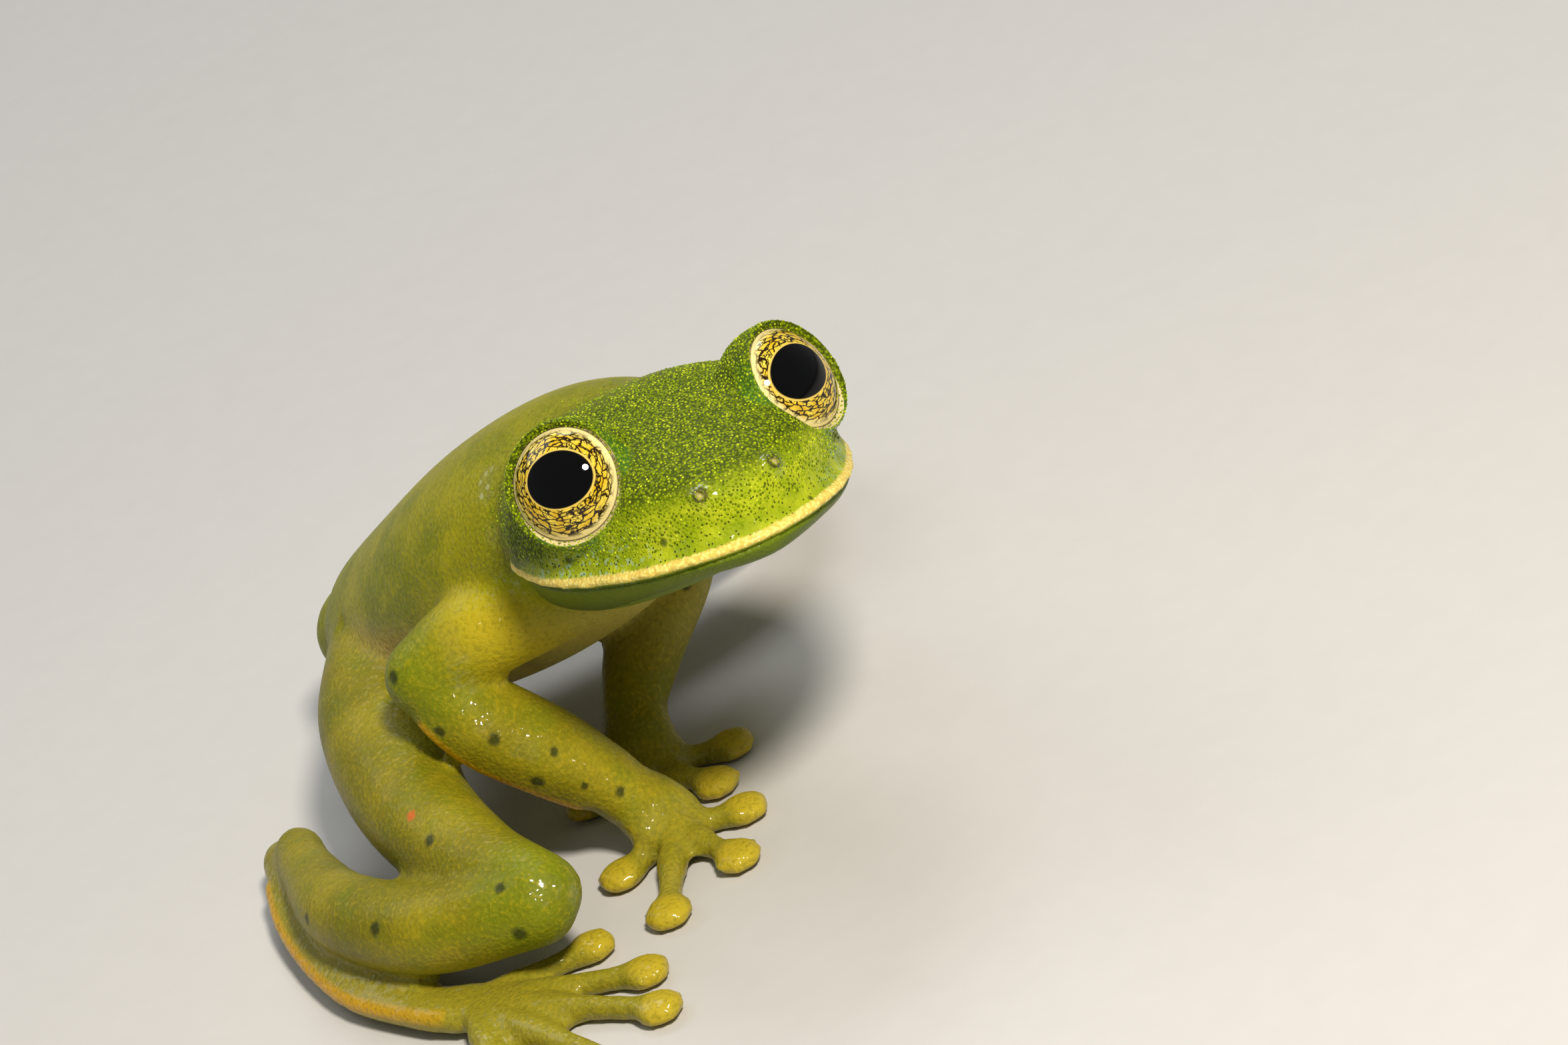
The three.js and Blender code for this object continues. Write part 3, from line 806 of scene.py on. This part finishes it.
# %% [markdown]
# ## Eye openings
# Each opening is turned on the gaze's own axis, like work on a lathe, and cut from the skin: a
# bed that fits the eyeball, then a bevel that opens outwards and makes the lid's soft edge. The
# eyeball's front is flatter than a ball's, since the iris lies behind the clear bulge.

# %% Cutting
EYE_BULGE_RADIUS = 1.98
EYE_FRONT = 1.3
NOSTRIL_HOLE = 0.105


def bulge_height(ring):
    """Height of the eyeball's front over the eye's centre, at a distance from the gaze."""
    return EYE_FRONT - EYE_BULGE_RADIUS + math.sqrt(EYE_BULGE_RADIUS**2 - ring**2)


def eyeball_profile(grow, steps=48):
    edge = 1.6
    back = [(0, -1.1), (0.7, -1.0), (1.2, -0.6), (1.52, 0.0)]
    front = [(edge * s, bulge_height(edge * s)) for s in np.linspace(1, 0, steps)]
    return [(r + grow * (r > 0), h + grow * np.sign(h)) for r, h in back + front]


def socket_profile():
    bed = [p for p in eyeball_profile(0.02) if p[0] >= LID_RING or p[1] < 0.3]
    bevel = [(0.0, LID_HEIGHT - 0.02), (0.05, LID_HEIGHT + 0.06), (0.16, LID_HEIGHT + 0.22),
             (0.5, LID_HEIGHT + 0.75), (0.5, 3.0)]
    return bed + [(LID_RING + wide, high) for wide, high in bevel] + [(0.0, 3.0)]


def cut(made, points, faces):
    tool = mesh_object("tool", *outward(points, faces))
    baked(made, "BOOLEAN", operation="DIFFERENCE", solver="MANIFOLD", object=tool)
    bpy.data.objects.remove(tool)


for side in (-1, 1):
    opening, faces = lathe(socket_profile())
    cut(skin, from_eye(side, opening), faces)
    place = (side * (NOSTRIL[0] + 0.03), NOSTRIL[1] - 0.05, NOSTRIL[2] + 0.04)
    hole, faces = ball(place, NOSTRIL_HOLE, (1.0, 1.5, 1.2), 10, 16)
    cut(skin, from_head(hole), faces)

# A corner with only two edges makes a folded sliver in the triangles, so it is dissolved
work = bmesh.new()
work.from_mesh(skin.data)
spare = [v for v in work.verts if len(v.link_edges) == 2]
bmesh.ops.dissolve_verts(work, verts=spare)
work.to_mesh(skin.data)
work.free()
print("corners dissolved after cutting:", len(spare))
print("skin after cutting:", triangles(skin), "triangles")

# %% [markdown]
# ## Marks for the materials
# The finish needs to know where it is: how far over the mouth, how near a lid, whether on the
# back or a toe. These are kept as numbers on the skin's points, in millimetres where they are
# distances, so that a thin line stays thin. Each dark spot has a place and a size of its own.

# %% Places of the spots
# x, y and z in the plan and the radius, in mm
DARK_SPOTS = [
    (-6.10, 8.74, 7.42, 0.24), (-6.04, 7.77, 5.78, 0.20), (-5.34, 6.56, 5.16, 0.22),
    (-4.37, 5.61, 4.11, 0.17), (-4.93, 5.90, 3.41, 0.24), (-4.17, 5.11, 2.91, 0.14),
    (-3.52, 4.63, 2.27, 0.18), (-8.82, 6.17, 4.24, 0.22), (-9.62, 2.33, 2.57, 0.24),
    (-9.47, 2.80, 3.51, 0.20), (-11.5, 6.3, 3.0, 0.24), (-11.3, 10.2, 2.5, 0.2),
    (6.5, 9.9, 6.4, 0.22), (5.0, 9.9, 4.9, 0.2), (3.5, 8.3, 3.9, 0.2), (1.9, 9.3, 3.4, 0.17),
    (7.4, 12.0, 5.0, 0.22), (11.0, 12.0, 3.9, 0.2), (12.9, 17.2, 3.4, 0.24), (9.6, 19.4, 3.2, 0.2),
]
FACE_SPOTS = [(-3.77, -2.48, 11.68, 0.15), (-4.37, 1.19, 11.05, 0.14), (0.02, -4.72, 11.09, 0.1)]
WET_PLACES = [
    (-4.73, 7.38, 8.06, 0.35), (-4.97, 7.22, 7.56, 0.35), (-5.0, 7.22, 6.79, 0.35),
    (-5.05, 7.04, 6.17, 0.35), (-5.31, 6.75, 5.57, 0.3), (-4.9, 5.97, 4.44, 0.4),
    (-8.94, 1.64, 3.4, 0.5), (-8.29, 1.4, 2.7, 0.35), (-1.52, 7.21, 11.26, 0.35),
    (-1.94, 7.02, 11.03, 0.35), (-2.69, 6.43, 10.22, 0.35), (5.9, 8.9, 7.0, 0.5),
    (13.0, 14.4, 3.8, 0.5), (-2.6, 3.4, 1.7, 0.4), (3.2, 7.6, 10.6, 0.4),
]
ORANGE_SPOTS = [(-8.29, 7.43, 4.48, 0.2)]
SHOULDERS = [(-3.0, 7.2, 7.6), (-2.2, 6.6, 8.2), (4.3, 7.2, 7.6)]
JOINTS = [(-5.2, 8.8, 6.7), (5.7, 9.6, 5.6), (-8.8, 2.4, 2.7), (12.9, 14.8, 2.7)]


def mark(name, values, mesh=skin.data):
    """Keeps a number or a vector on each point of a mesh."""
    kind, word = ("FLOAT", "value") if values.ndim == 1 else ("FLOAT_VECTOR", "vector")
    field = mesh.attributes.new(name, kind, "POINT")
    field.data.foreach_set(word, values.astype(np.float32).ravel())


def share_of_tube(points, stations):
    """Distance to a tube's middle as a share of its half size."""
    centre, half, *_ = along_tube(stations, np.linspace(0, 1, 40))
    return nearest(points, centre + SHIFT, half.mean(1))


def near_spots(points, spots):
    """Distance to the nearest spot, moved onto the skin, as a share of its radius."""
    plan, radius = np.split(np.array(spots), [3], axis=1)
    places = [points[np.argmin(norm(points - SHIFT - place, axis=1))] for place in plan]
    return nearest(points, places, radius.ravel())


print(len(DARK_SPOTS) + len(FACE_SPOTS), "dark spots and", len(WET_PLACES), "wet places")

# %% Marks on the head
points, on_face, rise, lid, nostril, out, place = face_of(skin.data)
_, y, z = on_face.T
trunk = share_of_tube(points, TRUNK)
front = np.zeros(len(points))
for side in (-1, 1):
    own = to_eye(side, on_face)
    toward = (-side * 0.72 * own[:, 0] - 0.69 * own[:, 1]) / (np.hypot(own[:, 0], own[:, 1]) + 1e-6)
    front = np.where(norm(own, axis=1) < 2.4, toward, front)
over_jaw = soft(z, -4.2, -3.0) * (trunk > 0.75)
on_head = soft(y, 8.2, 1.6) * over_jaw
mark("lid", lid)
mark("lid_front", front)
mark("rise", np.where((y < 4.0) & (place > 0.72) & (z > -5.2), rise, 6.0))
mark("mouth_end", soft(y, 4.0, 3.4))
mark("head", on_head)
mark("smooth_face", soft(rise + 0.35 * np.maximum(y, -2.0), 1.5, 0.7) * soft(lid, 0.15, 0.5))
mark("cheek", soft(y, -4.2, -1.2) * soft(rise, 1.6, 0.5))
mark("crown", soft(y, 6.8, 1.2) * over_jaw * soft(rise, 0.45, 1.0))
mark("jaw", soft(rise, 0.0, -0.1) * soft(y, 5.0, 3.7) * soft(z, -5.6, -4.6) * (trunk > 0.6))
mark("nostril", nostril)
mark("face_spot", near_spots(points, FACE_SPOTS))
print(int((on_head > 0.5).sum()), "of", len(points), "points are on the head")

# %% Marks on the body
limb = np.min([share_of_tube(points, s) for s in LIMBS.values()], axis=0)
palm = np.min([share_of_tube(points, stations) for stations, _, _ in PAWS.values()], axis=0)
digit_away = nearest(points, digit_lines)
tips = np.array([(*tip, 0.3) for _, tips, _ in PAWS.values() for tip in tips]) + SHIFT
middle = along_tube(TRUNK, np.linspace(0, 1, 60))[0] + SHIFT
line = np.interp(points[:, 1], middle[:, 1], middle[:, 2])
mark("limb", soft(trunk - np.minimum(limb, palm), -0.2, 0.35))
mark("paw", soft(points[:, 2], 1.9, 1.0) * soft(np.minimum(digit_away, palm * 0.8), 1.5, 0.9))
mark("disc", soft(nearest(points, tips), 0.95, 0.6))
mark("under", soft(points[:, 2] - line, 0.2, -2.4))
mark("flank", soft(nearest(points, trunk_path(0.42, 0.62, 200, 182)), 1.9, 0.5))
mark("fringe", nearest(points, fringe_line))
mark("shoulder", soft(nearest(points, np.array(SHOULDERS) + SHIFT), 2.4, 1.2))
mark("joint", soft(nearest(points, np.array(JOINTS) + SHIFT), 2.6, 1.1))
mark("spot", near_spots(points, DARK_SPOTS))
mark("orange", near_spots(points, ORANGE_SPOTS))
mark("wet", soft(near_spots(points, WET_PLACES), 1.3, 0.7))
write(skin.data, points * MM)
print("marks:", [a.name for a in skin.data.attributes if a.data_type == "FLOAT"])

# %% [markdown]
# ## The skin's finish
# Living frog skin is thin, moist and partly see-through: light goes a little way in and comes
# out yellow-green. The crown's ground is dark olive, for the lime grains to stand on; the sides
# of the snout are smooth with pinpoints of black; the lip is cream and finely beaded. A painted
# picture could hold it all, but layers laid through the marks keep each colour a line to read.

# %% Layers of colour
# Sizes of the patterns in mm. The last five are a few hundredths of a millimetre in life, too
# fine to show in the render, and each is drawn as coarse as it needs to be to show.
BLOTCH, CLOUD, WET_FILM = 3.2, 1.1, 0.36
PIGMENT, GRIT, BEADING, PINPOINT, FLECK = 0.13, 0.12, 0.11, 0.13, 0.1


def painted(put, tint, *layers):
    """Lays colours over a tint, each through a mask, a band of it or None, and a strength."""
    for mask, band, strength, colour in layers:
        share = put("field", mask) if isinstance(mask, str) else mask
        share = put("band", share, *band) if band else share
        share = put("times", share, strength) if strength < 1 else share
        tint = put("mix", share, tint, colour)
    return tint


print("patterns from", FLECK, "to", BLOTCH, "mm")


# %% Skin material
def moist_frog_skin(put):
    """Moist frog skin: satin with a glow from within, and sharp glints where it is wettest."""
    place = put("place")
    coarse = (BLOTCH, CLOUD, PIGMENT)
    blotch, cloud, speck = (put("noise", place, 1 / (n * MM), 3.0) for n in coarse)
    grit = put("noise", place, 1 / (GRIT * MM), 2.0)
    beads, pin, film = (put("cells", place, 1 / (n * MM)) for n in (BEADING, PINPOINT, WET_FILM))

    # Limbs olive yellow, greener at the elbow and knee, yellower on the digits
    limb = put("mix", put("band", blotch, 0.35, 0.65), "#77700c", "#8f8416")
    limb = painted(
        put, limb, (cloud, (0.45, 0.7), 0.4, "#667410"), ("joint", None, 0.6, "#6c7c0c"),
        ("shoulder", None, 0.65, "#bca81c"))

    # Back olive green with yellower blotches, belly cream, a pale patch on the flank
    back = put("mix", put("band", blotch, 0.38, 0.62), "#767b00", "#959000")
    body = painted(
        put, back, (cloud, (0.5, 0.72), 0.5, "#a8a008"), ("flank", None, 0.75, "#bda06a"),
        ("under", (0.45, 1.0), 1, "#a89a45"), ("limb", None, 1, limb),
        ("paw", None, 0.8, "#948a24"), ("disc", None, 0.75, "#c0a926"),
        ("fringe", (0.32, 0.14), 1, "#d6a00f"), (speck, (0.46, 0.36), 0.28, "#55560a"),
        (speck, (0.55, 0.65), 0.25, "#b9a01c"), ("orange", (1.2, 0.6), 0.9, "#c5621a"),
        ("spot", (1.25, 0.5), 0.85, "#232c10"))

    # Crown: dark olive ground between lime grains; sides of the snout smooth and paler
    crown = put("mix", put("band", beads, 0.2, 0.62), "#7f8f08", "#3c4a05")
    side = put("mix", put("band", cloud, 0.35, 0.65), "#889b0e", "#b0bb1e")
    fleck = put("cells", place, 1 / (FLECK * MM), output="Color")
    fleck = put("ShaderNodeSeparateColor", Color=fleck).outputs[0]
    fleck = put("times", put("band", fleck, 0.74, 0.84), put("field", "cheek"))
    side = painted(put, side, (fleck, None, 0.55, "#a4c9b0"), (pin, (0.28, 0.17), 0.9, "#16200a"))
    face = painted(
        put, crown, ("smooth_face", None, 1, side), ("face_spot", (1.3, 0.4), 0.8, "#28300f"))

    # Throat and lower lip see-through green, darker further down as painted shade; a cream lip,
    # beaded, over the line of the mouth
    rise = put("field", "rise")
    # The green darkens from just below the mouth downwards: painted shade under the jaw
    throat_painted_shade = put("mix", put("band", rise, -0.1, -1.4), "#5c6e12", "#36470d")
    ragged = put("plus", rise, put("times", put("minus", grit, 0.5), 0.12))
    lip = put("times", put("band", ragged, 0.0, 0.05), put("band", ragged, 0.34, 0.27))
    lip = put("times", lip, put("field", "mouth_end"))
    cream = put("mix", put("band", beads, 0.15, 0.7), "#fbec8a", "#e3c55c")

    # Lids: a thin cream edge, wide in front and below, then a ring of bright blue-green
    lid, toward, nostril = (put("field", name) for name in ("lid", "lid_front", "nostril"))
    wide = put("times", put("band", toward, -0.6, 0.7), 0.2)
    inside = put("minus", put("plus", lid, 0.06), wide)
    ring = put("times", put("band", lid, 0.62, 0.3), put("band", toward, -0.2, 0.5))
    # The jaw's layer is the throat's green with its painted shade
    tint = painted(
        put, body, ("head", None, 1, face), ("jaw", None, 1, throat_painted_shade), (lip, None, 1, cream),
        (ring, None, 0.25, "#43a03c"), (inside, (0.1, 0.06), 1, "#dccb92"),
        (lid, (0.05, 0.02), 1, "#6a4a44"), (nostril, (0.26, 0.2), 0.8, "#33290c"),
        (nostril, (0.17, 0.12), 1, "#b5ad68"))

    # Fine relief under a wet coat, which is thickest by the lids, the nostrils and in patches
    grains = put("times", put("band", beads, 0.7, 0.1), put("field", "head"))
    relief = put("plus", put("times", grains, 0.6), put("times", grit, 0.5))
    relief = put("plus", relief, put("times", put("band", speck, 0.35, 0.65), 0.7))
    rough = put("bump", Strength=0.6, Distance=0.03 * MM, Height=relief)
    wet = put("bump", Strength=0.8, Distance=0.06 * MM, Height=put("band", film, 0.6, 0.0))
    dry = put("plus", 0.1, put("times", put("field", "paw"), 0.25))
    coat = put("times", dry, put("band", put("field", "crown"), 0.6, 0.0))
    tear = put("times", put("band", toward, 0.4, 0.8), put("band", lid, 0.4, 0.2))
    for wet_place in (put("field", "wet"), tear, put("band", nostril, 0.6, 0.3)):
        coat = put("most", coat, wet_place)
    return dict(
        Base_Color=tint, Normal=rough, Roughness=0.5, Specular_IOR_Level=0.25,
        Specular_Tint="#e3e49a", Subsurface_Weight=0.15, Subsurface_Radius=(1.0, 0.85, 0.3),
        Subsurface_Scale=0.6 * MM, Coat_Weight=coat, Coat_Roughness=0.11, Coat_Normal=wet)


skin.data.materials.clear()
skin.data.materials.append(material(moist_frog_skin))
skin.data.shade_smooth()
print("the skin's finish has", len(skin.data.materials[0].node_tree.nodes), "nodes")

# %% [markdown]
# ## Grains on the crown
# The crown and lids are covered with raised grains a tenth of a millimetre apart. Placing
# thousands of them is work for Geometry Nodes: points are scattered over the marked skin, no
# two nearer than the spacing, and a small flattened bead is set on each. A bump texture could
# suggest them, but real beads catch the light one by one.

# %% Grains with Geometry Nodes
GRAIN_SPACING = 0.09
GRAIN_RADIUS = 0.043
GRAIN_SEED = 7
MOST_GRAINS_PER_M2 = 4e8


def lime_grains(put):
    """Grains of skin: smooth lime beads of many tones, each with its own small highlight."""
    tone = put("field", "tone")
    tint = put("mix", put("band", tone, 0.0, 0.7), "#546804", "#8aa206")
    tint = put("mix", put("band", tone, 0.7, 1.0), tint, "#c6d42a")
    return dict(
        Base_Color=tint, Roughness=0.3, Specular_IOR_Level=0.4, Specular_Tint="#c9dc50")


def grain_tree():
    """Scatters points over the marked skin and sets a flattened bead of its own tone on each."""
    tree = bpy.data.node_groups.new("grains_over_skin", "GeometryNodeTree")
    words = {"Geometry": "Geometry", "Spacing": "Float", "Radius": "Float", "Seed": "Int",
             "Finish": "Material"}
    for name, kind in words.items():
        tree.interface.new_socket(name, in_out="INPUT", socket_type="NodeSocket" + kind)
    tree.interface.new_socket("Geometry", in_out="OUTPUT", socket_type="NodeSocketGeometry")
    put = partial(add, tree)
    given = put("NodeGroupInput").outputs
    crown = put("GeometryNodeInputNamedAttribute", data_type="FLOAT", Name="crown").outputs[0]
    scatter = put(
        "GeometryNodeDistributePointsOnFaces", distribute_method="POISSON",
        Mesh=given["Geometry"], Distance_Min=given["Spacing"], Density_Max=MOST_GRAINS_PER_M2,
        Density_Factor=crown, Seed=given["Seed"]).outputs
    bead = put("GeometryNodeMeshIcoSphere", Radius=1.0, Subdivisions=1).outputs["Mesh"]
    size = put("FunctionNodeRandomValue", data_type="FLOAT", _2=0.7, _3=1.1, Seed=1).outputs[1]
    size = put("times", size, given["Radius"])
    scale = put("ShaderNodeCombineXYZ", X=size, Y=size, Z=put("times", size, 0.6)).outputs[0]
    placed = put(
        "GeometryNodeInstanceOnPoints", Points=scatter["Points"], Instance=bead,
        Rotation=scatter["Rotation"], Scale=scale).outputs[0]
    tone = put("FunctionNodeRandomValue", data_type="FLOAT", Seed=2).outputs[1]
    kept = put(
        "GeometryNodeStoreNamedAttribute", data_type="FLOAT", domain="INSTANCE",
        Geometry=placed, Name="tone", Value=tone).outputs[0]
    real = put("GeometryNodeRealizeInstances", Geometry=kept).outputs[0]
    smooth = put("GeometryNodeSetShadeSmooth", Geometry=real).outputs[0]
    finish = put("GeometryNodeSetMaterial", Geometry=smooth, Material=given["Finish"])
    put("NodeGroupOutput", Geometry=finish.outputs[0])
    return tree


def grown(name, base, tree, **values):
    """The mesh that a Geometry Nodes tree makes from a base object, as an object of its own."""
    holder = in_scene(name, base.data.copy())
    modifier = holder.modifiers.new(name, "NODES")
    modifier.node_group = tree
    for item in tree.interface.items_tree:
        if item.in_out == "INPUT" and item.name in values:
            modifier[item.identifier] = values[item.name]
    apply(holder)
    return holder


grains = grown("grains", skin, grain_tree(), Spacing=GRAIN_SPACING * MM,
               Radius=GRAIN_RADIUS * MM, Seed=GRAIN_SEED, Finish=material(lime_grains))
print("grains:", len(grains.data.polygons) // 20, "beads,", len(grains.data.polygons), "triangles")

# %% [markdown]
# ## Eyes
# The iris is gold, netted with black-brown, and the pupil is a level oval with a pale gold rim.
# The pattern is drawn in the eye's own axes, kept on the points, so it turns with the gaze. The
# net's cells are drawn out around the pupil, by giving distance from it more weight than angle.

# %% Eyeballs
PUPIL_WIDE, PUPIL_HIGH = 0.93, 0.76
PUPIL_OFFSET = {-1: (0.07, 0.1), 1: (-0.3, 0.09)}
# Sizes in mm of the iris's paler patches and of what stirs its net. The net's cells are counted
# in a measure of their own, which makes them some 0.29 and 0.17 mm long by 0.08 and 0.05 high.
# Its real threads are too thin to show in the render, so they are drawn as coarse as they need.
PATCH, STIR = 0.385, 0.222
NET_AROUND, NET_OUTWARD = 0.8, 2.3
COARSE_NET, FINE_NET = 0.1923, 0.1111


def eyeball(side, name):
    points, faces = outward(*lathe(eyeball_profile(0.0), 128))
    made = mesh_object(name, from_eye(side, points) * MM, faces)
    own = points - (*PUPIL_OFFSET[side], 0)
    ring = np.hypot(own[:, 0], own[:, 1])
    around = own[:, :2] / (ring[:, None] + 1e-6)
    mark("own", own, made.data)
    mark("net", np.c_[around * NET_AROUND, ring * NET_OUTWARD], made.data)
    mark("edge", np.hypot(points[:, 0], points[:, 1]), made.data)
    made.data.shade_smooth()
    return made


def wet_gold_iris(put):
    """A living eye: a gold iris under a clear wet front, which gives one sharp glint."""
    own = put("field", "own", output="Vector")
    parts = put("ShaderNodeSeparateXYZ", Vector=own).outputs
    wide, high = put("over", parts["X"], PUPIL_WIDE), put("over", parts["Y"], PUPIL_HIGH)
    oval = put("root", put("plus", put("times", wide, wide), put("times", high, high)))
    edge = put("field", "edge")
    stir = put("noise", own, 1 / STIR, 4.0, output="Color")
    net = put("field", "net", output="Vector")
    net = put("ShaderNodeMix", data_type="VECTOR", _0=0.22, _4=net, _5=stir).outputs[1]
    coarse, fine = (
        put("band", put("cells", net, 1 / size, feature="DISTANCE_TO_EDGE"), 0.15, 0.05)
        for size in (COARSE_NET, FINE_NET))
    patchy = put("noise", own, 1 / PATCH, 3.0)
    dark = put("most", coarse, put("times", fine, put("band", patchy, 0.48, 0.62)))
    dark = put("times", dark, put("band", edge, 1.5, 1.36))
    gold = put("mix", put("band", patchy, 0.35, 0.65), "#d3ad1c", "#f6dc50")
    iris = painted(
        put, gold, (edge, (1.3, 1.46), 1, "#efdf9c"), (dark, None, 1, "#241505"),
        (oval, (1.1, 1.07), 1, "#e0c25c"), (oval, (1.05, 1.01), 1, "#020202"),
        (edge, (1.5, 1.54), 1, "#4a2c2c"))
    return dict(
        Base_Color=iris, Roughness=0.3, Specular_IOR_Level=0.0, Coat_Weight=1.0,
        Coat_Roughness=0.01, Coat_IOR=1.38)


eye_finish = material(wet_gold_iris)
eyes = {}
for side, word in ((-1, "right"), (1, "left")):
    eyes[word] = eyeball(side, f"eyeball_{word}")
    eyes[word].data.materials.append(eye_finish)
print("each eye opening is", 2 * LID_RING, "mm across")

# %% [markdown]
# ## Handing over
# The skin stands for all the flesh solids and each eyeball for its own solid. All ride on the
# one body, because a still model has no joints.

# %% Hand over
flesh = [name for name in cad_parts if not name.startswith("eye_")]
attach(skin, "root")
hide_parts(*flesh)
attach(grains, "root")
for word, made in eyes.items():
    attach(made, "root")
    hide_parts(f"eye_{word}")
dressed_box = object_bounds()
sizes = {"solids": solid_box, "dressed": dressed_box}
{name: [[float(n) for n in corner] for corner in box] for name, box in sizes.items()}
print("dressed reach", in_mm(*dressed_box[0], *dressed_box[1]), "mm")
